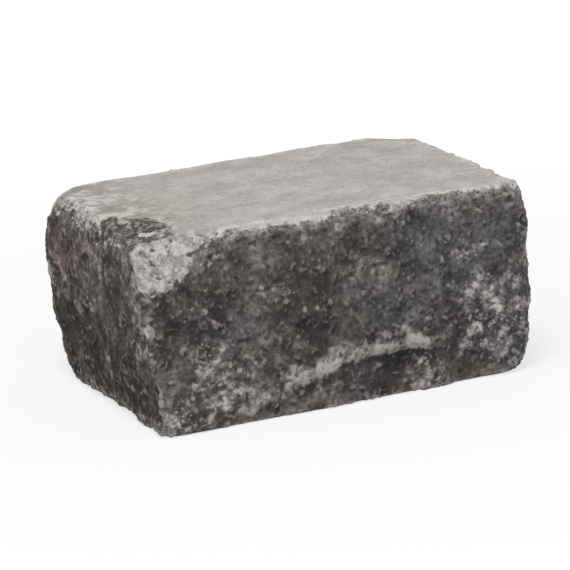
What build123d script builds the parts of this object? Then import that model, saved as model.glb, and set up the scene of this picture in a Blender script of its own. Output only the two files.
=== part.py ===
"""Split-face wall block of tumbled concrete, pressed and split as one solid piece. Millimetres.

X runs along the wall, Y from the split face at -Y to the back, and Z up.
The origin is the middle of the bed face, on which the block lies.
"""

import os
from math import sqrt

from build123d import *

# Overall size of the block, over its bulging faces
LENGTH = 322.0
DEPTH = 214.0
HEIGHT = 150.0

# Bulge of each rough face: its bed edge's inset from its crest, the crest's height, and its top edge's inset
LEFT_BULGE = (13.0, 96.0, 5.0)
RIGHT_BULGE = (8.0, 84.0, 6.0)
FRONT_BULGE = (1.5, 72.0, 2.5)
BACK_BULGE = (6.0, 80.0, 3.5)

# Tumbled edges: the four upright ones, then those round the top and round the bed
FRONT_LEFT_RADIUS = 12.0
FRONT_RIGHT_RADIUS = 11.0
BACK_RIGHT_RADIUS = 17.0
BACK_LEFT_RADIUS = 15.0
TOP_RADIUS = 7.0
BED_RADIUS = 4.5

# Shell-shaped scar low on the split face: a ledge over a hollow, with distances from the block's right
SCAR_LEFT_FOOT = 246.0
SCAR_CROWN = 134.0
SCAR_CROWN_HEIGHT = 33.0
SCAR_SHOULDER = 56.0
SCAR_SHOULDER_HEIGHT = 22.0
SCAR_RIGHT_FOOT = 30.0
SCAR_DEPTH = 4.2
SCAR_TOE_DEPTH = 0.5
SCAR_WALL_SLOPE = 56.0

# Knocked-off corners: how far each hollow reaches from the square corner along length, depth and height
FRONT_LEFT_TOP_CHIP = (64.0, 26.0, 37.0)
FRONT_RIGHT_BED_CHIP = (24.0, 20.0, 24.0)
BACK_LEFT_BED_CHIP = (33.0, 36.0, 33.0)
BACK_LEFT_TOP_CHIP = (28.0, 30.0, 28.0)
BACK_RIGHT_TOP_CHIP = (43.0, 37.0, 33.0)
FRONT_RIGHT_TOP_CHIP = (22.0, 16.0, 22.0)
BACK_RIGHT_BED_CHIP = (34.0, 41.0, 31.0)
CHIP_HOLLOW_RADIUS = 110.0

# Scallop knocked out of the top's left edge: distance back, half-length, reach on the top, drop on the end
LEFT_EDGE_SCALLOP = (48.0, 40.0, 36.0, 9.0)

# Dish right of the split face's middle: distance from the right, height above the bed, rim radius and depth
FRONT_DISH = (62.0, 84.0, 42.0, 3.0)

# Shallow hollows left by the splitting: rim radii and depths by turns, mean spacing, distance from the edges
HOLLOW_RADII = (26.0, 32.0, 21.0)
HOLLOW_DEPTHS = (2.2, 2.6, 2.0)
HOLLOW_SPACING = 52.0
HOLLOW_MARGIN = 16.0

# Room by which a cutting shape stands clear of the block
CLEAR = 20.0

# Each rough face's outward direction and bulge
BULGES = {(-1, 0): LEFT_BULGE, (1, 0): RIGHT_BULGE, (0, -1): FRONT_BULGE, (0, 1): BACK_BULGE}

# Steps of the plastic ratio, which spread points evenly over a square
PLASTIC_RATIO = 1.32471795724
PLASTIC_STEPS = (1 / PLASTIC_RATIO, 1 / PLASTIC_RATIO**2)


def bulging_section(plane, width, left_bulge, right_bulge):
    """A section of the block, flat at bed and top, whose two sides bulge out to the full width."""
    with BuildSketch(plane) as section:
        with BuildLine():
            rims = []
            for side, (bed_inset, crest, top_inset) in ((-1, left_bulge), (1, right_bulge)):
                at_crest = (side * width / 2, crest)
                bed_end = (side * (width / 2 - bed_inset), 0)
                top_end = (side * (width / 2 - top_inset), HEIGHT)
                TangentArc(at_crest, bed_end, tangent=(0, -1))
                TangentArc(at_crest, top_end, tangent=(0, 1))
                rims.append((bed_end, top_end))
            for left_end, right_end in zip(*rims):
                Line(left_end, right_end)
        make_face()
    return section.sketch


def bulge_inset(bulge, height):
    """How far a bulging face lies inside its own crest at one height."""
    bed_inset, crest, top_inset = bulge
    inset, reach = (top_inset, HEIGHT - crest) if height > crest else (bed_inset, crest)
    radius = (reach**2 + inset**2) / (2 * inset)
    return radius - sqrt(radius**2 - (height - crest) ** 2)


def on_face(outward, along, height):
    """A point of one rough face, given its outward direction, its place along X or Y and its height."""
    bulge = BULGES[outward]
    if outward[0]:
        return Vector(outward[0] * (LENGTH / 2 - bulge_inset(bulge, height)), along, height)
    return Vector(along, outward[1] * (DEPTH / 2 - bulge_inset(bulge, height)), height)


def dishes(places, rim_radius, depth):
    """Cuts shallow round hollows. Each place is a point of a face and the face's outward direction."""
    ball_radius = (rim_radius**2 + depth**2) / (2 * depth)
    with Locations([point + Vector(*outward) * (ball_radius - depth) for point, outward in places]):
        Sphere(ball_radius, mode=Mode.SUBTRACT)


def scattered(width):
    """Places spread evenly but in no rows over a face of this width, as distances along it and heights."""
    for index in range(round(width * HEIGHT / HOLLOW_SPACING**2)):
        along = (index * PLASTIC_STEPS[0]) % 1 - 0.5
        height = (index * PLASTIC_STEPS[1]) % 1 - 0.5
        yield along * (width - 2 * HOLLOW_MARGIN), HEIGHT / 2 + height * (HEIGHT - 2 * HOLLOW_MARGIN)


def chip(sides, reaches):
    """Scoops off the corner on the given sides, each -1 or 1, to the given reaches along its edges."""
    corner = Vector(sides[0] * LENGTH / 2, sides[1] * DEPTH / 2, (1 + sides[2]) * HEIGHT / 2)
    # The ball's surface passes through the end of each reach, which leaves a quadratic in the corner's power
    bend = sum(1 / reach**2 for reach in reaches) / 4
    spread = sum(reach**2 for reach in reaches) / 4 - CHIP_HOLLOW_RADIUS**2
    power = (0.5 + sqrt(0.25 - 4 * bend * spread)) / (2 * bend)
    offsets = [side * (power / reach - reach) / 2 for side, reach in zip(sides, reaches)]
    with Locations(corner + Vector(*offsets)):
        Sphere(CHIP_HOLLOW_RADIUS, mode=Mode.SUBTRACT)


with BuildPart() as wall_block:
    # Pressed block with bulging sides: the section along the wall, cut to the section across it
    extrude(bulging_section(Plane.XZ, LENGTH, LEFT_BULGE, RIGHT_BULGE), amount=DEPTH / 2, both=True)
    across = bulging_section(Plane.YZ, DEPTH, FRONT_BULGE, BACK_BULGE)
    extrude(across, amount=LENGTH / 2, both=True, mode=Mode.INTERSECT)

    # Edges worn round in the tumbler
    for side_x, side_y, radius in (
        (-1, -1, FRONT_LEFT_RADIUS),
        (1, -1, FRONT_RIGHT_RADIUS),
        (1, 1, BACK_RIGHT_RADIUS),
        (-1, 1, BACK_LEFT_RADIUS),
    ):
        corner = (side_x * LENGTH / 2, side_y * DEPTH / 2, HEIGHT / 2)
        fillet(wall_block.edges().sort_by_distance(corner)[0], radius)
    fillet(wall_block.faces().sort_by(Axis.Z)[-1].edges(), TOP_RADIUS)
    fillet(wall_block.faces().sort_by(Axis.Z)[0].edges(), BED_RADIUS)

    # Scar on the split face, its floor tilted so that it is deepest below the ledge
    toe = -DEPTH / 2 + bulge_inset(FRONT_BULGE, 0) + SCAR_TOE_DEPTH
    deepest = -DEPTH / 2 + bulge_inset(FRONT_BULGE, SCAR_CROWN_HEIGHT) + SCAR_DEPTH
    floor_up = Vector(0, deepest - toe, SCAR_CROWN_HEIGHT)
    floor = Plane(origin=(LENGTH / 2, toe, 0), x_dir=(1, 0, 0), z_dir=Vector(1, 0, 0).cross(floor_up))
    with BuildSketch(floor):
        with BuildLine():
            crown = (-SCAR_CROWN, SCAR_CROWN_HEIGHT)
            left_foot = (-SCAR_LEFT_FOOT, 0)
            right_foot = (-SCAR_RIGHT_FOOT, 0)
            TangentArc(crown, left_foot, tangent=(-1, 0))
            ledge = TangentArc(crown, (-SCAR_SHOULDER, SCAR_SHOULDER_HEIGHT), tangent=(1, 0))
            TangentArc(ledge @ 1, right_foot, tangent=ledge % 1)
            Polyline(left_foot, (-SCAR_LEFT_FOOT, -CLEAR), (-SCAR_RIGHT_FOOT, -CLEAR), right_foot)
        make_face()
    extrude(amount=CLEAR, taper=-SCAR_WALL_SLOPE, mode=Mode.SUBTRACT)

    # Hollows in the four rough faces, and the dish in the split face
    front = (0, -1)
    from_right, height, rim_radius, depth = FRONT_DISH
    dishes([(on_face(front, LENGTH / 2 - from_right, height), front)], rim_radius, depth)
    places = []
    for outward in BULGES:
        width = DEPTH if outward[0] else LENGTH
        places += [(on_face(outward, *place), outward) for place in scattered(width)]
    for turn, (rim_radius, depth) in enumerate(zip(HOLLOW_RADII, HOLLOW_DEPTHS)):
        dishes(places[turn :: len(HOLLOW_RADII)], rim_radius, depth)

    # Corners knocked off in the tumbler
    chip((-1, -1, 1), FRONT_LEFT_TOP_CHIP)
    chip((1, -1, -1), FRONT_RIGHT_BED_CHIP)
    chip((-1, 1, -1), BACK_LEFT_BED_CHIP)
    chip((-1, 1, 1), BACK_LEFT_TOP_CHIP)
    chip((1, 1, 1), BACK_RIGHT_TOP_CHIP)
    chip((1, -1, 1), FRONT_RIGHT_TOP_CHIP)
    chip((1, 1, -1), BACK_RIGHT_BED_CHIP)

    # Scallop in the top's left edge, a ball through the ends of its reach, of its drop and of its length
    from_front, half_length, reach, drop = LEFT_EDGE_SCALLOP
    edge = Vector(-LENGTH / 2 + LEFT_BULGE[2], -DEPTH / 2 + from_front, HEIGHT)
    inward = (reach**2 - half_length**2) / (2 * reach)
    upward = (half_length**2 - drop**2) / (2 * drop)
    with Locations(edge + Vector(inward, 0, upward)):
        Sphere(sqrt(inward**2 + upward**2 + half_length**2), mode=Mode.SUBTRACT)

wall_block.part.label = "wall_block"
os.makedirs("parts", exist_ok=True)
export_step(wall_block.part, "parts/wall_block.step")
print(wall_block.part.bounding_box(), "volume", round(wall_block.part.volume))
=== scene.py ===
"""Looks of the split-face wall block: broken and tumbled relief, procedural concrete, floor, light, camera.

Lengths are in millimetres in the row's frame, and become metres on the way to Blender.
"""

from math import radians
from types import SimpleNamespace

import bpy
import numpy as np
from mathutils import Matrix, Vector, noise


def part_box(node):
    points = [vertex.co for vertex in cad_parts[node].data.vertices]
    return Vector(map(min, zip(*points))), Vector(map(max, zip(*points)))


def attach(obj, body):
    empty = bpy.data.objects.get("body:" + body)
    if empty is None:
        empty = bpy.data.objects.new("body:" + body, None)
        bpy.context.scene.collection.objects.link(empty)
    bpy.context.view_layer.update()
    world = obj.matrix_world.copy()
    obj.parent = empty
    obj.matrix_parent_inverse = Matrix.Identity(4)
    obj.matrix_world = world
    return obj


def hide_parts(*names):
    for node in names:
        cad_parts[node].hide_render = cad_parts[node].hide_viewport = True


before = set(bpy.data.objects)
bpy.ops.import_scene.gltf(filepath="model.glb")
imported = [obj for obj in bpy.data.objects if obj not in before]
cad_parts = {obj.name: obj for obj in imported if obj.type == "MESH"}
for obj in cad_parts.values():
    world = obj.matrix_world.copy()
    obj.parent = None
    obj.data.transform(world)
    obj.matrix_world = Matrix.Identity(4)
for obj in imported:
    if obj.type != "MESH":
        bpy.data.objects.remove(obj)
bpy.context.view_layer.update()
scene = bpy.context.scene
rng = np.random.default_rng(7)

MM = 0.001
low, high = (np.array(corner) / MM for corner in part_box("wall_block"))
LEFT, FRONT, BED = low
RIGHT, BACK, TOP = high
MIDDLE = (low + high) / 2
HALF = (high - low) / 2

# Camera of the photograph, how much closer its lens draws this one block, and how far it sees
EYE = (-1122.0, -2624.0, 858.0)
AIM = (-1.0, 0.0, 70.0)
PHOTO_LENS = 75.9
CLOSER = 3.2
ROLL = radians(-3.5)
FARTHEST_SEEN = 30_000.0

# Key light: its place, what it points at, its width and its power in watts, then the strength of the sky
KEY_PLACE = (-700.0, -1100.0, 2600.0)
KEY_AIM = (0.0, 0.0, 70.0)
KEY_WIDTH = 1200.0
KEY_WATTS = 58.0
SKY_STRENGTH = 0.45

# Floor: reach each way, paint, whiteness near the block, and distances over which it turns wholly white
FLOOR_REACH = 9000.0
FLOOR_PAINT = (0.84, 0.84, 0.84)
FLOOR_WHITENESS = 0.72
FLOOR_FADE = (250.0, 700.0)

# Mesh of the block: spacing of the points that are carved, and the triangles kept after carving
SPACING = 1.15
TRIANGLES = 194_000

# Gap between the block's faces where they are laid side by side on one sheet
SHEET_GAP = 6.0

# How far in from the block's box its rough faces reach, and where its pressed faces start
FACE_BAND = 16.0
RIM = 9.0

# Sway of faces and edges: reach, size and seed of each layer, and how far from bed and top it is whole
SWAYS = ((3.2, 62.0, 11), (1.8, 21.0, 14))
SWAY_EASE = 22.0

# Chips and nicks along the edges, chips along the bed and chips at the corners: number, radii and depths
EDGE_CHIPS = (130, (10.0, 40.0), (0.4, 2.0))
EDGE_NICKS = (50, (7.0, 15.0), (0.8, 2.2))
BED_CHIPS = (45, (10.0, 30.0), (0.2, 0.9))
CORNER_CHIPS = (30, (16.0, 40.0), (0.8, 3.0))
BED_BAND = 14.0
PALEST_CHIP = 0.95
CHIP_FADE = 0.8

# Least that the second largest part of a normal is on an edge, and that the smallest is at a corner
EDGE_SHARE = 0.45
CORNER_SHARE = 0.38

# Wear in the tumbler: rounds of smoothing, then those at the left of the top, and where these start and end
WEAR_ROUNDS = 32
LEFT_TOP_ROUNDS = 80
LEFT_TOP_REACH = (75.0, 30.0)
LEFT_TOP_DROP = (60.0, 22.0)

# Scar on the split face: where its ledge is highest, how high that is, and how far its feet lie to each side
SCAR_CROWN = RIGHT - 134.0
SCAR_HEIGHT = 39.0
SCAR_LEFT_REACH = 114.0
SCAR_RIGHT_REACH = 105.0

# Band round the scar that isn't worn: how far it starts above the ledge, and how far above the bed it ends
SCAR_MARGIN = 8.0
SCAR_BED_MARGIN = 6.0

# Pale ledge of the scar, worn and with a painted highlight, and the hollow under it, darker paste with
# painted shade: where each fades below its line, above the bed, beside its crown
LEDGE_TOP = (-22.0, 0.0)
LEDGE_FOOT = (9.0, 3.0)
LEDGE_BED = (0.0, 13.0)
LEDGE_RIGHT = (62.0, 32.0)
LEDGE_LEFT = (-75.0, -10.0)
LEDGE_LEFT_SHARE = 0.85
HOLLOW_TOP = (3.0, 8.0)
HOLLOW_FOOT = (24.0, 10.0)
HOLLOW_BED = (8.0, 22.0)
UNDER_LEDGE_SHADE = 0.75

# Freshly broken corners: the balls that scoop them out of the block, as middles and radii, and their rims
BROKEN_CORNERS = (
    ((LEFT - 4.0, FRONT - 75.0, TOP + 43.0), 110.0),
    ((RIGHT + 37.0, BACK + 46.0, TOP + 55.0), 110.0),
)
BREAK_FADE = (4.0, 1.0)
BREAK_RAGGEDNESS = 6.0

# Weathered scallop in the top's left edge, scooped by a ball too, and how far it moves the pressed rim in
SCALLOP = (((LEFT + 0.8, FRONT + 48.0, TOP + 84.4), 93.5),)
SCALLOP_FADE = (4.5, -0.5)
SCALLOP_RAGGEDNESS = 8.0
SCALLOP_RIM = 30.0

# Upright part of a normal where a face starts to be a pressed one, and where it fully is
PRESSED_TILT = (0.86, 0.985)

# Difference between a normal's parts along X and Y, each way, over which a split face turns into an end
END_TURN = 0.25

# Heights of the layers of relief on the split face and the back, on the ends and on the pressed faces
SPLIT_RELIEF = {"rock": 2.2, "crests": 1.6, "jutting": 0.8, "sockets": -1.0, "sand": 0.8}
END_RELIEF = {"rock": 2.2, "crests": 1.4, "stones": 0.6, "sockets": -0.9, "drag": 1.0, "sand": 0.8}
PRESSED_RELIEF = {"wave": 0.5, "sand": 0.15}

# Stones in the relief: size of their cells, least and largest reach in cells, and how far their cells shake
STONE_CELL = 6.4
STONE_REACH = (0.30, 0.60)
STONE_SHAKE = 2.6

# Chance above which a stone stands out and below which it left a socket, and how far crowding moves each
STONE_CHANCE = 0.66
STONE_CROWDING = 0.5
SOCKET_CHANCE = 0.10
SOCKET_CROWDING = 0.3

# Reach of the bends in the rock's swells, and how far its crests stand over the swells' middle
ROCK_BEND = 7.0
CREST_HEIGHT = 0.22

# Share of its relief that a fresh break lacks, and how far the rough faces lie back under theirs
BREAK_SMOOTHNESS = 0.5
ROUGH_SETBACK = 0.4

# Height from a hollow's floor to a ridge's top, for the fine relief and for the block's own edges
RIDGE_SPAN = 1.1
EDGE_SPAN = 5.0

# Distances over which the low part fades, above the bed, and the top's soil, from the left
LOW_FADE = (10.0, 95.0)
SOIL_FADE = (100.0, 12.0)

# Stains and scuffs on the split face: distance from its left, height and radius of each
FRONT_PALE = (
    (62, 36, 26),
    (52, 58, 12),
    (30, 14, 16),
    (281, 67, 18),
    (272, 104, 13),
    (292, 44, 34),
    (306, 62, 22),
    (226, 15, 15),
)
FRONT_DARK = ((44, 92, 30), (132, 80, 34), (252, 76, 15), (190, 26, 26), (262, 22, 18))
FRONT_COOL = ((257, 88, 30), (232, 122, 34), (292, 112, 26), (200, 70, 26))

# The same on the left end: distance from its front, height and radius
END_PALE = ((18, 84, 10), (28, 62, 9), (120, 78, 8), (96, 40, 9))
END_DARK = ((132, 42, 40), (66, 112, 20), (60, 24, 34), (188, 60, 26))
END_RUST = ((168, 118, 34), (186, 92, 22), (110, 128, 16))

# How many stains of each sort fall by chance on the faces out of the photograph's sight, and their radii
HIDDEN_STAINS = 8
HIDDEN_STAIN_RADII = (10.0, 34.0)

# Pastes and dusts of the finish, each from its darkest to its palest, in linear red, green and blue
WARM_PASTE = ((0.062, 0.0535, 0.0505), (0.150, 0.131, 0.125))
COOL_PASTE = ((0.058, 0.0545, 0.0555), (0.142, 0.134, 0.137))
OLIVE_PASTE = ((0.066, 0.054, 0.044), (0.150, 0.125, 0.104))
PRESSED_PASTE = ((0.37, 0.343, 0.322), (0.48, 0.456, 0.437))
PALE_SAND = ((0.22, 0.206, 0.200), (0.46, 0.435, 0.422))
FRESH_STONE = ((0.28, 0.262, 0.251), (0.50, 0.474, 0.458))
SCUFF_DUST = ((0.38, 0.361, 0.352), (0.62, 0.592, 0.577))
# Scallop: olive dirt, darkened further as painted shade of its broken wall
SCALLOP_DIRT_AND_SHADE = ((0.036, 0.033, 0.027), (0.260, 0.240, 0.215))

# Colours of single marks on the rough faces
RUST = (0.130, 0.090, 0.076)
PALE_MOTTLE = (0.36, 0.318, 0.291)
DARK_MOTTLE = (0.036, 0.030, 0.025)
GREY_STONE = (0.20, 0.186, 0.179)
BREAK_PIT = (0.10, 0.092, 0.086)
# Pale ledge of the scar: wear, and a painted highlight where its top faces the light
LEDGE_WEAR_AND_HIGHLIGHT = (0.46, 0.437, 0.422)
RUBBED_EDGE = (0.38, 0.358, 0.345)
# Ridges paler by wear and a painted highlight, and hollows of the relief darkened as painted shade
RIDGE_WEAR_AND_HIGHLIGHT = (0.30, 0.282, 0.273)
CREVICE_SHADE = (0.034, 0.030, 0.028)

# Colours of single marks on the pressed faces and along their rim
PRESSED_PATCH = (0.41, 0.378, 0.345)
PRESSED_STREAK = (0.30, 0.272, 0.245)
PRESSED_SOIL = (0.24, 0.205, 0.172)
PRESSED_RINSED = (0.58, 0.545, 0.515)
PRESSED_SCRATCH = (0.26, 0.238, 0.212)
PRESSED_SPECK = (0.25, 0.232, 0.213)
PRESSED_PIT = (0.17, 0.155, 0.140)
RIM_POWDER = (0.34, 0.318, 0.304)
RIM_WHITE = (0.62, 0.585, 0.56)

# Gloss of the finish, and its finest relief, which has no points of its own
ROUGH_ROUGHNESS = 0.95
PRESSED_ROUGHNESS = 0.82
SPECULAR = 0.3
BUMP_HEIGHT = 0.6
BUMP_STRENGTH = 0.6

# Distance from one seed's noise to the next, and spread that gives each grain random numbers of its own
SEED_STEP = 17.3
CHANCE_SPREAD = 61.7

# How many times finer each further octave of lumps is
OCTAVE_STEP = 2.0


# Points and fields


def points_of(mesh):
    flat = np.empty(len(mesh.vertices) * 3, np.float32)
    mesh.vertices.foreach_get("co", flat)
    return flat.reshape(-1, 3).astype(float) / MM


def set_points(mesh, points):
    mesh.vertices.foreach_set("co", (points * MM).astype(np.float32).ravel())
    mesh.update()


def normals_of(mesh):
    flat = np.empty(len(mesh.vertices) * 3, np.float32)
    mesh.vertex_normals.foreach_get("vector", flat)
    return flat.reshape(-1, 3).astype(float)


def edges_of(mesh):
    flat = np.empty(len(mesh.edges) * 2, np.int32)
    mesh.edges.foreach_get("vertices", flat)
    return flat.reshape(-1, 2)


def keep(mesh, name, values):
    mesh.attributes.new(name, "FLOAT", "POINT").data.foreach_set("value", values.astype(np.float32))


def smoothed(values, edges, rounds):
    """Values averaged over neighbouring points, this many times."""
    one, other = edges.T
    count = len(values)
    links = np.bincount(edges.ravel(), minlength=count)
    result = values.copy()
    for _ in range(rounds):
        for column in range(result.shape[1]):
            here = result[:, column]
            total = np.bincount(one, here[other], count) + np.bincount(other, here[one], count)
            result[:, column] = 0.5 * here + 0.5 * total / links
    return result


def soft_normals(mesh, edges, rounds):
    normals = smoothed(normals_of(mesh), edges, rounds)
    return normals / np.linalg.norm(normals, axis=1)[:, None]


def standing_out(points, normals, edges, rounds, span):
    """How far each point stands out of its surroundings: 0 in a hollow, 0.5 where level, 1 on a ridge."""
    height = ((points - smoothed(points, edges, rounds)) * normals).sum(1)
    return np.clip(0.5 + height / span, 0, 1)


def ramp(values, start, end):
    """0 before start, 1 after end, and smooth between."""
    share = np.clip((values - start) / (end - start), 0, 1)
    return share * share * (3 - 2 * share)


def spots(points, size, seed):
    return [Vector(point) for point in (points / size + SEED_STEP * seed).tolist()]


def lumps(points, size, seed, octaves=1, fade=1.0):
    """Smooth lumps and hollows of this size, mostly within -0.5 to 0.5, with finer ones on them."""
    return np.array([noise.fractal(spot, fade, OCTAVE_STEP, octaves) for spot in spots(points, size, seed)])


def drift(points, size, seed):
    """Lumps for each of the three axes."""
    return np.stack([lumps(points, size, seed + axis) for axis in range(3)], 1)


def grains(points, size, seed):
    """Distance to the nearest grain's centre, in sizes, and three random numbers of that grain."""
    found = [noise.voronoi(spot) for spot in spots(points, size, seed)]
    distance = np.array([distances[0] for distances, _ in found])
    chance = np.array([noise.cell_vector(places[0] * CHANCE_SPREAD) for _, places in found])
    return distance, chance


def on_balls(points, balls, uneven, start, end):
    """1 on the walls that some balls scooped out of the block, 0 away from them, with an uneven rim."""
    share = np.zeros(len(points))
    for middle, radius in balls:
        out = np.linalg.norm(points - middle, axis=1) - radius
        share = np.maximum(share, ramp(out + uneven, start, end))
    return share


def on_split_face(base):
    return base[:, 1] < FRONT + FACE_BAND


def below_ledge(base):
    """How far below the line of the scar's ledge each point lies."""
    along = base[:, 0] - SCAR_CROWN
    left = 1 - np.clip(-along / SCAR_LEFT_REACH, 0, 1) ** 2
    right = np.sqrt(1 - np.clip(along / SCAR_RIGHT_REACH, 0, 1) ** 2)
    return BED + SCAR_HEIGHT * left * right - base[:, 2]


# Shape of the block


def apply_modifiers(piece):
    depsgraph = bpy.context.evaluated_depsgraph_get()
    shaped = piece.evaluated_get(depsgraph)
    mesh = bpy.data.meshes.new_from_object(shaped, preserve_all_data_layers=True, depsgraph=depsgraph)
    piece.modifiers.clear()
    piece.data = mesh


def even_copy(node, name):
    """A closed copy of a CAD node, with points close and even enough to carve."""
    piece = bpy.data.objects.new(name, node.data.copy())
    scene.collection.objects.link(piece)
    grid = piece.modifiers.new("grid", "REMESH")
    grid.mode = "VOXEL"
    grid.voxel_size = SPACING * MM
    apply_modifiers(piece)
    return piece


def swayed(base):
    """The points moved a little, as no face or edge is quite straight. Bed and top stay level."""
    sway = sum(reach * drift(base, size, seed) for reach, size, seed in SWAYS)
    sway[:, 2] *= ramp(np.minimum(base[:, 2] - BED, TOP - base[:, 2]), 0.0, SWAY_EASE)
    return base + sway


def scoop(points, centre, radius, fresh, paleness):
    """Pushes the points inside a ball out to its wall, and marks how pale their break is."""
    away = points - centre
    distance = np.linalg.norm(away, axis=1)
    inside = distance < radius
    points[inside] = centre + away[inside] * (radius / distance[inside])[:, None]
    depth = radius - distance[inside]
    fresh[inside] = np.maximum(fresh[inside], paleness * ramp(depth, 0.0, CHIP_FADE))


def chip_edges(points, normals, scar, fresh):
    """Scallops knocked out of the edges, larger ones at the corners."""
    shares = np.sort(np.abs(normals), axis=1)
    on_edge = (shares[:, 1] > EDGE_SHARE) & ~scar
    on_corner = (shares[:, 0] > CORNER_SHARE) & ~scar
    on_bed = points[:, 2] < BED + BED_BAND
    places = points.copy()
    for among, (count, radii, depths) in (
        (on_edge & ~on_bed, EDGE_CHIPS),
        (on_edge & ~on_bed, EDGE_NICKS),
        (on_edge & on_bed, BED_CHIPS),
        (on_corner, CORNER_CHIPS),
    ):
        for site in rng.choice(np.flatnonzero(among), count):
            radius = rng.uniform(*radii)
            depth = rng.uniform(*depths)
            centre = places[site] + normals[site] * (radius - depth)
            scoop(points, centre, radius, fresh, rng.uniform(0.0, PALEST_CHIP) ** 2)


def tumble(points, edges, scar):
    """Wears the edges round, most of all round the left of the top, but not the scar's ledge."""
    worn = smoothed(points, edges, WEAR_ROUNDS)
    reach, drop = points[:, 0] - LEFT, TOP - points[:, 2]
    left_top = ramp(reach, *LEFT_TOP_REACH) * ramp(drop, *LEFT_TOP_DROP)
    among = np.flatnonzero(left_top)
    order = np.full(len(points), -1)
    order[among] = np.arange(len(among))
    links = order[edges]
    rounder = smoothed(worn[among], links[(links >= 0).all(1)], LEFT_TOP_ROUNDS)
    worn[among] += (rounder - worn[among]) * left_top[among, None]
    return np.where(scar[:, None], points, worn)


def kinds_of_surface(base, normals, chipped):
    """How far each point is pressed, end or split face, freshly broken, and weathered, from 0 to 1."""
    uneven = lumps(base, size=11.0, seed=20, octaves=3)
    weathered = on_balls(base, SCALLOP, SCALLOP_RAGGEDNESS * uneven, *SCALLOP_FADE)
    broken = on_balls(base, BROKEN_CORNERS, BREAK_RAGGEDNESS * uneven, *BREAK_FADE)
    pressed = ramp(np.abs(normals[:, 2]), *PRESSED_TILT) * (1 - weathered)
    end = ramp(np.abs(normals[:, 0]) - np.abs(normals[:, 1]), -END_TURN, END_TURN) * (1 - pressed)
    split = (1 - pressed) * (1 - end)
    fresh = np.maximum(chipped * (1 - weathered), broken)
    return SimpleNamespace(pressed=pressed, end=end, split=split, fresh=fresh, weathered=weathered)


def relief_layers(base, fresh):
    """Sharp-crested swells, stones that stand out, sockets that others left, sand, and slow waves."""
    bent = base + ROCK_BEND * drift(base, size=27.0, seed=21)
    shaken = base + STONE_SHAKE * drift(base, size=5.5, seed=26)
    crowd = lumps(base, size=36.0, seed=29)
    far, chance = grains(shaken, STONE_CELL, seed=30)
    reach = np.interp(chance[:, 1], (0, 1), STONE_REACH)
    dome = np.sqrt(np.clip(1 - (far / reach) ** 2, 0, 1))
    stones = dome * (chance[:, 0] + STONE_CROWDING * crowd > STONE_CHANCE)
    sockets = dome * (chance[:, 0] + SOCKET_CROWDING * crowd < SOCKET_CHANCE)
    return {
        "rock": lumps(bent, size=34.0, seed=24, octaves=4, fade=0.75),
        "crests": CREST_HEIGHT - np.abs(lumps(bent, size=20.0, seed=25, octaves=3)),
        "stones": stones,
        "jutting": stones * (0.5 + chance[:, 2]),
        "bare": stones * (0.3 + 0.7 * chance[:, 2]),
        "sockets": sockets * (1 - fresh),
        "sand": lumps(base, size=3.4, seed=31, octaves=2),
        "drag": lumps(bent * (1, 1, 0.8), size=10.0, seed=32, octaves=2),
        "wave": lumps(base, size=90.0, seed=33),
    }


def stacked(layers, heights):
    return sum(height * layers[name] for name, height in heights.items())


def relief(layers, kinds):
    """Height of each point's relief over the worn block."""
    height = kinds.split * stacked(layers, SPLIT_RELIEF) + kinds.end * stacked(layers, END_RELIEF)
    height *= 1 - BREAK_SMOOTHNESS * kinds.fresh
    height += kinds.pressed * stacked(layers, PRESSED_RELIEF)
    return height - ROUGH_SETBACK * (1 - kinds.pressed)


def scar_marks(base):
    """The scar's pale ledge, worn and with a painted highlight, fainter towards its feet, and the dark
    hollow under it, darker paste with painted shade.
    """
    below = below_ledge(base)
    height = base[:, 2] - BED
    along = base[:, 0] - SCAR_CROWN
    ledge = ramp(below, *LEDGE_TOP) * ramp(below, *LEDGE_FOOT) * ramp(height, *LEDGE_BED)
    ledge *= ramp(along, *LEDGE_RIGHT)
    ledge *= LEDGE_LEFT_SHARE + (1 - LEDGE_LEFT_SHARE) * ramp(along, *LEDGE_LEFT)
    hollow = ramp(below, *HOLLOW_TOP) * ramp(below, *HOLLOW_FOOT) * ramp(height, *HOLLOW_BED)
    return ledge * on_split_face(base), hollow * on_split_face(base)


def stain_places(points, on_front, on_end):
    """Places of one sort of stain on the two rough faces that the photograph shows, others by chance."""
    places = [(LEFT + along, FRONT, BED + height, radius) for along, height, radius in on_front]
    places += [(LEFT, FRONT + back, BED + height, radius) for back, height, radius in on_end]
    hidden = np.flatnonzero((points[:, 0] > RIGHT - FACE_BAND) | (points[:, 1] > BACK - FACE_BAND))
    for site in rng.choice(hidden, HIDDEN_STAINS):
        places.append((*points[site], rng.uniform(*HIDDEN_STAIN_RADII)))
    return places


def stained(points, on_front, on_end):
    """How deep each point lies in the nearest stain of one sort, from 0 outside to 1 in the middle."""
    depth = np.zeros(len(points))
    for *place, radius in stain_places(points, on_front, on_end):
        away = np.linalg.norm(points - place, axis=1)
        depth = np.maximum(depth, np.exp(-((away / radius) ** 2)))
    return depth


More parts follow.
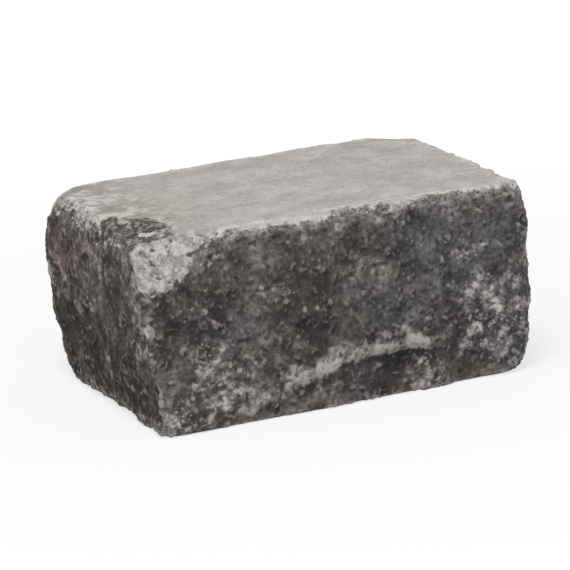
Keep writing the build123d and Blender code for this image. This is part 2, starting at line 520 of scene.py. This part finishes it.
def finish_marks(base, points, normals, edges, layers, kinds):
    """What the finish has to know of each point, by name."""
    height = base[:, 2] - BED
    drop = np.minimum(TOP - base[:, 2], height)
    inset = (HALF - np.abs(base - MIDDLE))[:, :2].min(1)
    ledge, hollow = scar_marks(base)
    return {
        "pressed": kinds.pressed,
        "end": kinds.end,
        "fresh": kinds.fresh,
        "weathered": kinds.weathered,
        # How far a point stands out: it gives ridges a painted highlight and hollows painted shade
        "ridge": standing_out(points, normals, edges, rounds=8, span=RIDGE_SPAN),
        "edge": standing_out(points, normals, edges, rounds=90, span=EDGE_SPAN),
        "stone": layers["bare"],
        "rim": inset - RIM - drop - SCALLOP_RIM * kinds.weathered,
        "low": 1 - ramp(height, *LOW_FADE),
        "soil": ramp(base[:, 0] - LEFT, *SOIL_FADE),
        "ledge": ledge,
        # Dark stains, and under the scar's ledge darker paste with painted shade
        "dark": np.maximum(stained(base, FRONT_DARK, END_DARK), UNDER_LEDGE_SHADE * hollow),
        "pale": stained(base, FRONT_PALE, END_PALE),
        "cool": stained(base, FRONT_COOL, ()),
        "rust": stained(base, (), END_RUST),
    }


def carve(piece):
    """Sways, chips, wears and breaks the block's faces. Returns the names of the marks for the finish."""
    mesh = piece.data
    base = points_of(mesh)
    edges = edges_of(mesh)
    chipped = np.zeros(len(base))
    scar = on_split_face(base) & (below_ledge(base) > -SCAR_MARGIN) & (base[:, 2] > BED + SCAR_BED_MARGIN)
    points = swayed(base)
    chip_edges(points, soft_normals(mesh, edges, rounds=4), scar, chipped)
    points = tumble(points, edges, scar)
    set_points(mesh, points)

    normals = soft_normals(mesh, edges, rounds=5)
    kinds = kinds_of_surface(base, normals, chipped)
    layers = relief_layers(base, kinds.fresh)
    points += normals * relief(layers, kinds)[:, None]
    points[:, 2] = np.clip(points[:, 2], BED, TOP)
    set_points(mesh, points)

    marks = finish_marks(base, points, normals_of(mesh), edges, layers, kinds)
    for name, values in marks.items():
        keep(mesh, name, values)
    place = mesh.attributes.new("base", "FLOAT_VECTOR", "POINT")
    place.data.foreach_set("vector", base.astype(np.float32).ravel())
    return tuple(marks)


def thin(piece):
    """Drops points where the carved surface needs few."""
    fewer = piece.modifiers.new("fewer", "DECIMATE")
    fewer.ratio = TRIANGLES / (2 * len(piece.data.polygons))
    fewer.use_collapse_triangulate = True
    apply_modifiers(piece)
    piece.data.polygons.foreach_set("use_smooth", np.ones(len(piece.data.polygons), bool))


def lay_flat(mesh):
    """A map of the block's six faces laid side by side, so that its finish can be drawn on them."""
    length, depth, height = 2 * HALF
    sheet = length + 2 * height + 4 * SHEET_GAP
    column = length + 2 * SHEET_GAP

    # Each face's axis and whether it is on that axis's far side, then the axes it shows and its place
    faces = {
        (2, True): (0, 1, (SHEET_GAP, SHEET_GAP)),
        (1, False): (0, 2, (SHEET_GAP, depth + 2 * SHEET_GAP)),
        (1, True): (0, 2, (SHEET_GAP, depth + height + 3 * SHEET_GAP)),
        (2, False): (1, 0, (column, SHEET_GAP)),
        (0, False): (1, 2, (column, length + 2 * SHEET_GAP)),
        (0, True): (1, 2, (column, length + height + 3 * SHEET_GAP)),
    }
    base = np.empty(len(mesh.vertices) * 3, np.float32)
    mesh.attributes["base"].data.foreach_get("vector", base)
    corners = np.empty(len(mesh.loops), np.int32)
    mesh.loops.foreach_get("vertex_index", corners)
    places = base.reshape(-1, 3)[corners]
    shares = (places.reshape(-1, 3, 3).mean(1) - MIDDLE) / HALF
    axes = np.abs(shares).argmax(1)
    far = shares[np.arange(len(shares)), axes] > 0
    spread = np.zeros((len(places), 2))
    for (axis, side), (first, second, start) in faces.items():
        chosen = np.repeat((axes == axis) & (far == side), 3)
        inset = [places[chosen, first] - low[first], places[chosen, second] - low[second]]
        spread[chosen] = np.stack(inset, 1) + start
    layer = mesh.uv_layers.new(name="OFBake")
    layer.uv.foreach_set("vector", (spread / sheet).astype(np.float32).ravel())


# Finish of the block


class Net:
    """A short way to write the net of nodes of a material or of the world."""

    def __init__(self, owner):
        owner.use_nodes = True
        self.owner = owner
        self.tree = owner.node_tree
        self.tree.nodes.clear()

    def node(self, kind, inputs, **settings):
        made = self.tree.nodes.new(kind)
        for name, value in settings.items():
            setattr(made, name, value)
        for key, value in inputs.items():
            if isinstance(value, bpy.types.NodeSocket):
                self.tree.links.new(value, made.inputs[key])
            else:
                made.inputs[key].default_value = value
        return made

    def attribute(self, name):
        return self.node("ShaderNodeAttribute", {}, attribute_name=name).outputs["Fac"]

    def place(self):
        return self.node("ShaderNodeTexCoord", {}).outputs["Object"]

    def seen(self):
        """1 for a camera ray, straight or by way of gloss or glass, and 0 for the light on things."""
        path = self.node("ShaderNodeLightPath", {}).outputs
        gloss = self.larger(path["Is Glossy Ray"], path["Is Transmission Ray"])
        return self.larger(path["Is Camera Ray"], gloss)

    def calc(self, operation, *values):
        return self.node("ShaderNodeMath", dict(enumerate(values)), operation=operation).outputs[0]

    def plus(self, one, other):
        return self.calc("ADD", one, other)

    def times(self, one, other):
        return self.calc("MULTIPLY", one, other)

    def larger(self, one, other):
        return self.calc("MAXIMUM", one, other)

    def line(self, value, slope, start):
        """The value times the slope, added to the start."""
        return self.calc("MULTIPLY_ADD", value, slope, start)

    def step(self, value, start, end, to=1.0):
        """0 before start, to after end, and smooth between."""
        inputs = {"Value": value, "From Min": start, "From Max": end, "To Max": to}
        return self.node("ShaderNodeMapRange", inputs, interpolation_type="SMOOTHSTEP").outputs["Result"]

    def stretch(self, place, scale):
        return self.node("ShaderNodeVectorMath", {0: place, 1: scale}, operation="MULTIPLY").outputs[0]

    def shaken(self, place, size, reach):
        """Places moved about by lumps of this size, which makes the outlines drawn there uneven."""
        lump = self.node("ShaderNodeTexNoise", {"Vector": place, "Scale": 1 / (size * MM)}).outputs["Color"]
        inputs = {0: lump, 1: (2 * reach * MM,) * 3, 2: (-reach * MM,) * 3}
        shift = self.node("ShaderNodeVectorMath", inputs, operation="MULTIPLY_ADD").outputs[0]
        return self.node("ShaderNodeVectorMath", {0: place, 1: shift}, operation="ADD").outputs[0]

    def noise(self, place, size, detail=3.0, roughness=0.55):
        inputs = {"Vector": place, "Scale": 1 / (size * MM), "Detail": detail, "Roughness": roughness}
        return self.node("ShaderNodeTexNoise", inputs).outputs["Fac"]

    def grain(self, place, size):
        """Distance to the nearest grain's centre, in sizes, and three random numbers of that grain."""
        found = self.node("ShaderNodeTexVoronoi", {"Vector": place, "Scale": 1 / (size * MM)})
        chance = self.node("ShaderNodeSeparateColor", {"Color": found.outputs["Color"]}).outputs
        return found.outputs["Distance"], chance

    def mix(self, share, *colours):
        """The first colour, turned into the second by a share. Each is a socket, or red, green and blue."""
        # The node's sockets 6 and 7 take the two colours, and its output 2 gives their mix
        inputs = {0: share}
        for key, colour in zip((6, 7), colours):
            inputs[key] = opaque(colour) if isinstance(colour, tuple) else colour
        return self.node("ShaderNodeMix", inputs, data_type="RGBA").outputs[2]

    def scaled(self, colour, factor):
        return self.node("ShaderNodeVectorMath", {0: colour, "Scale": factor}, operation="SCALE").outputs[0]


def opaque(colour):
    return (*colour, 1.0)


def finish_fields(net, marks):
    """What the finish is drawn with: the block's marks, noise of several sizes, small and large grains."""
    at = SimpleNamespace(place=net.place(), **{name: net.attribute(name) for name in marks})
    at.blotch = net.noise(at.place, size=110.0)
    at.cloud = net.noise(at.place, size=30.0, detail=6.0, roughness=0.62)
    at.mottle = net.noise(at.place, size=12.0, detail=4.0, roughness=0.6)
    at.speckle = net.noise(at.place, size=5.0, roughness=0.6)
    at.fine = net.noise(at.place, size=2.2, detail=4.0, roughness=0.65)
    at.patchy = net.line(at.mottle, 2.0, at.speckle)
    at.tone = net.step(at.cloud, 0.33, 0.68)
    at.small_far, at.small = net.grain(net.shaken(at.place, size=2.0, reach=1.0), size=2.3)
    at.large_far, at.large = net.grain(net.shaken(at.place, size=4.5, reach=2.2), size=5.2)
    return at


def split_paste(net, at):
    """Charcoal brown, bluer by patches."""
    bluish = net.larger(net.step(at.cool, 0.15, 0.75, to=0.9), net.step(at.blotch, 0.52, 0.66, to=0.7))
    return net.mix(bluish, net.mix(at.tone, *WARM_PASTE), net.mix(at.tone, *COOL_PASTE))


def end_paste(net, at):
    """Olive brown with a reddish cast, mottled in dark and pale, and darker towards the bed."""
    upright = net.shaken(net.stretch(at.place, (1.0, 1.0, 0.9)), size=12.0, reach=5.0)
    pale = net.noise(upright, size=15.0, detail=5.0, roughness=0.6)
    dark = net.noise(upright, size=21.0, detail=5.0, roughness=0.6)
    colour = net.mix(at.tone, *OLIVE_PASTE)
    colour = net.mix(net.step(at.rust, 0.1, 0.8, to=0.75), colour, RUST)
    colour = net.mix(net.step(pale, 0.53, 0.68, to=0.75), colour, PALE_MOTTLE)
    colour = net.mix(net.step(dark, 0.49, 0.38, to=0.85), colour, DARK_MOTTLE)
    return net.scaled(colour, net.line(at.low, -0.4, 1.0))


def pale_grains(net, distance, chance, crowd, rarity):
    """Where the grains that are pale show: more of them where they crowd."""
    chosen = net.step(net.line(crowd, 0.34, chance[1]), rarity, rarity + 0.05)
    return net.times(net.times(chosen, net.step(distance, 0.52, 0.30)), 0.7)


def rough_finish(net, at):
    """Broken faces: paste full of sand and stone of many tones, the palest in clusters, and scuffs."""
    colour = net.mix(at.end, split_paste(net, at), end_paste(net, at))
    # Darker in the dark stains, and with painted shade in the hollow under the scar's ledge
    colour = net.scaled(colour, net.line(net.step(at.dark, 0.05, 0.8), -0.5, 1.0))
    colour = net.scaled(colour, net.line(at.small[0], 0.40, 0.80))
    colour = net.scaled(colour, net.line(at.large[0], 0.50, 0.75))
    colour = net.scaled(colour, net.line(at.mottle, 2.6, -0.39))
    cluster = net.noise(at.place, size=24.0)
    crowd = net.larger(net.step(at.pale, 0.1, 0.9), net.step(cluster, 0.52, 0.72, to=0.7))
    pale_sand = net.mix(at.small[2], *PALE_SAND)
    colour = net.mix(pale_grains(net, at.small_far, at.small, crowd, rarity=1.06), colour, pale_sand)
    colour = net.mix(pale_grains(net, at.large_far, at.large, crowd, rarity=0.98), colour, pale_sand)
    colour = net.mix(net.times(at.stone, 0.3), colour, GREY_STONE)
    scuffed = net.times(net.step(at.pale, 0.05, 0.7, to=0.9), net.step(at.patchy, 1.50, 1.85))
    dust = net.mix(net.step(at.patchy, 1.65, 2.0), *SCUFF_DUST)
    return net.mix(scuffed, colour, dust)


def pressed_finish(net, at):
    """Pressed faces: smooth and light, faintly streaked along the block, patchy, soiled near the left."""
    drawn = net.shaken(net.stretch(at.place, (0.4, 1.0, 1.0)), size=20.0, reach=5.0)
    streaked = net.noise(drawn, size=9.0, detail=4.0)
    grooves = net.stretch(net.shaken(at.place, size=60.0, reach=6.0), (0.06, 1.0, 1.0))
    scratched = net.noise(grooves, size=3.2, detail=2.0)
    billows = net.plus(at.mottle, at.cloud)
    soiled = net.times(at.soil, net.step(billows, 0.88, 1.12, to=0.85))
    rinsed = net.times(at.soil, net.step(billows, 1.02, 0.84, to=0.75))
    pitted = net.times(net.step(at.small[1], 0.90, 0.94, to=0.8), net.step(at.small_far, 0.46, 0.22))
    colour = net.mix(net.step(at.cloud, 0.34, 0.66), *PRESSED_PASTE)
    colour = net.mix(net.step(at.blotch, 0.44, 0.60, to=0.55), colour, PRESSED_PATCH)
    colour = net.mix(net.step(streaked, 0.53, 0.70, to=0.45), colour, PRESSED_STREAK)
    colour = net.mix(soiled, colour, PRESSED_SOIL)
    colour = net.mix(rinsed, colour, PRESSED_RINSED)
    colour = net.scaled(colour, net.line(at.small[0], 0.16, 0.92))
    colour = net.scaled(colour, net.line(at.fine, 0.8, 0.565))
    colour = net.mix(net.step(scratched, 0.64, 0.76, to=0.4), colour, PRESSED_SCRATCH)
    colour = net.mix(net.step(at.fine, 0.58, 0.74, to=0.55), colour, PRESSED_SPECK)
    return net.mix(pitted, colour, PRESSED_PIT)


def joined_at_rim(net, at, rough, pressed):
    """The two finishes, joined along an uneven worn line, with powder outside it and whitish along it."""
    inside = net.line(at.mottle, 44.0, net.plus(at.rim, -22.0))
    inside = net.line(at.speckle, 16.0, net.plus(inside, -8.0))
    inside = net.line(at.end, net.line(at.speckle, 70.0, -31.0), inside)
    inside = net.line(at.low, -14.0, inside)
    powdered = net.times(net.step(inside, -24.0, -2.0, to=0.8), net.step(at.fine, 0.38, 0.58))
    unbroken = net.times(net.step(inside, -9.0, 2.0), net.step(at.fresh, 0.6, 0.2))
    whitish = net.times(net.step(inside, -7.0, -1.0, to=0.8), net.step(inside, 8.0, 2.0))
    whitish = net.times(whitish, net.step(at.low, 0.8, 0.3))
    whitish = net.times(whitish, net.step(at.speckle, 0.38, 0.56))
    colour = net.mix(powdered, rough, RIM_POWDER)
    colour = net.mix(unbroken, colour, pressed)
    return net.mix(whitish, colour, RIM_WHITE)


def with_dirt_and_shade_in_scallop(net, at, colour):
    """The finish with olive dirt and painted shade, grain by grain, where the scallop has weathered."""
    grainy = net.line(at.speckle, 2.0, net.plus(at.mottle, at.fine))
    # Darker where the scallop is: olive dirt and painted shade
    dirt_and_shade = net.step(net.plus(grainy, at.weathered), 2.45, 2.80, to=0.92)
    return net.mix(dirt_and_shade, colour, net.mix(net.step(at.speckle, 0.42, 0.66), *SCALLOP_DIRT_AND_SHADE))


def with_fresh_breaks(net, at, colour):
    """The finish with pale, pitted stone where the block is freshly broken."""
    pitted = net.times(net.step(at.large[1], 0.30, 0.25), net.step(at.large_far, 0.42, 0.24))
    stone = net.mix(pitted, net.mix(net.step(at.speckle, 0.38, 0.60), *FRESH_STONE), BREAK_PIT)
    broken = net.step(net.line(at.mottle, 2.0, at.fresh), 1.35, 1.85)
    cover = net.line(net.step(at.fine, 0.36, 0.46), 0.4, 0.55)
    return net.mix(net.times(broken, cover), colour, stone)


def with_wear(net, at, colour):
    """The finish rubbed paler on edges, paler on ridges and the scar's ledge by wear and a painted
    highlight, and with painted shade in its hollows.
    """
    rubbed = net.times(net.step(at.edge, 0.60, 0.92, to=0.8), net.step(at.speckle, 0.38, 0.58))
    rubbed = net.times(rubbed, net.step(at.weathered, 0.5, 0.1))
    colour = net.mix(rubbed, colour, RUBBED_EDGE)
    # Paler on the scar's ledge: wear, and a painted highlight of its lit top
    colour = net.mix(net.step(net.line(at.patchy, 1.3, at.ledge), 2.20, 3.30, to=0.95), colour, LEDGE_WEAR_AND_HIGHLIGHT)
    # Ridges of the fine relief paler: wear and a painted highlight
    colour = net.mix(net.step(at.ridge, 0.56, 0.98, to=0.3), colour, RIDGE_WEAR_AND_HIGHLIGHT)
    # Hollows of the fine relief darker: painted shade
    return net.mix(net.step(at.ridge, 0.46, 0.10, to=0.65), colour, CREVICE_SHADE)


def concrete(marks):
    net = Net(bpy.data.materials.new("tumbled_concrete"))
    at = finish_fields(net, marks)
    colour = joined_at_rim(net, at, rough_finish(net, at), pressed_finish(net, at))
    colour = with_dirt_and_shade_in_scallop(net, at, colour)
    colour = with_fresh_breaks(net, at, colour)
    colour = with_wear(net, at, colour)

    gloss = {"Value": at.pressed, "To Min": ROUGH_ROUGHNESS, "To Max": PRESSED_ROUGHNESS}
    height = net.line(net.step(at.small_far, 0.55, 0.1), 0.5, at.fine)
    bump = {"Height": height, "Strength": BUMP_STRENGTH, "Distance": BUMP_HEIGHT * MM}
    inputs = {
        "Base Color": colour,
        "Roughness": net.node("ShaderNodeMapRange", gloss).outputs["Result"],
        "Normal": net.node("ShaderNodeBump", bump).outputs["Normal"],
        "Specular IOR Level": SPECULAR,
    }
    surface = net.node("ShaderNodeBsdfPrincipled", inputs).outputs[0]
    net.node("ShaderNodeOutputMaterial", {"Surface": surface})
    return net.owner


# Floor, light and camera


def floor_paint():
    """Pale paint that takes the block's shadow, and runs out into plain white away from it."""
    net = Net(bpy.data.materials.new("pale_floor"))
    start, end = (distance * MM for distance in FLOOR_FADE)
    away = net.node("ShaderNodeVectorMath", {0: net.place()}, operation="LENGTH").outputs["Value"]
    fade = {"Value": away, "From Min": start, "From Max": end, "To Min": FLOOR_WHITENESS}
    whiteness = net.node("ShaderNodeMapRange", fade).outputs["Result"]
    paint = net.node("ShaderNodeBsdfDiffuse", {"Color": opaque(FLOOR_PAINT)}).outputs[0]
    white = net.node("ShaderNodeEmission", {}).outputs[0]
    share = net.times(net.seen(), whiteness)
    surface = net.node("ShaderNodeMixShader", {0: share, 1: paint, 2: white}).outputs[0]
    net.node("ShaderNodeOutputMaterial", {"Surface": surface})
    return net.owner


def floor():
    reach = FLOOR_REACH * MM
    corners = [(x * reach, y * reach, 0) for x, y in ((-1, -1), (1, -1), (1, 1), (-1, 1))]
    mesh = bpy.data.meshes.new("floor")
    mesh.from_pydata(corners, [], [(0, 1, 2, 3)])
    mesh.materials.append(floor_paint())
    plane = bpy.data.objects.new("floor", mesh)
    scene.collection.objects.link(plane)


def key_light():
    light = bpy.data.lights.new("key", "AREA")
    light.shape = "DISK"
    light.size = KEY_WIDTH * MM
    light.energy = KEY_WATTS
    place, aim = Vector(KEY_PLACE) * MM, Vector(KEY_AIM) * MM
    lamp = bpy.data.objects.new("key", light)
    lamp.location = place
    lamp.rotation_euler = (aim - place).to_track_quat("-Z", "Y").to_euler()
    scene.collection.objects.link(lamp)


def sky():
    """Plain white where it is seen, and softer as a light."""
    net = Net(bpy.data.worlds.new("soft_sky"))
    level = net.node("ShaderNodeMapRange", {"Value": net.seen(), "To Min": SKY_STRENGTH}).outputs["Result"]
    back = net.node("ShaderNodeBackground", {"Color": opaque((1.0, 1.0, 1.0)), "Strength": level}).outputs[0]
    net.node("ShaderNodeOutputWorld", {"Surface": back})
    scene.world = net.owner


def camera():
    lens = bpy.data.cameras.new("camera")
    lens.lens = PHOTO_LENS * CLOSER
    lens.clip_end = FARTHEST_SEEN * MM
    eye, aim = Vector(EYE) * MM, Vector(AIM) * MM
    viewer = bpy.data.objects.new("camera", lens)
    turn = (aim - eye).to_track_quat("-Z", "Y").to_matrix() @ Matrix.Rotation(ROLL, 3, "Z")
    viewer.matrix_world = Matrix.Translation(eye) @ turn.to_4x4()
    scene.collection.objects.link(viewer)
    scene.camera = viewer


block = even_copy(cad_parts["wall_block"], "split_face_block")
marks = carve(block)
thin(block)
lay_flat(block.data)
block.data.materials.clear()
block.data.materials.append(concrete(marks))
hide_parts("wall_block")
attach(block, "root")

floor()
key_light()
sky()
camera()
scene.view_settings.view_transform = "Standard"
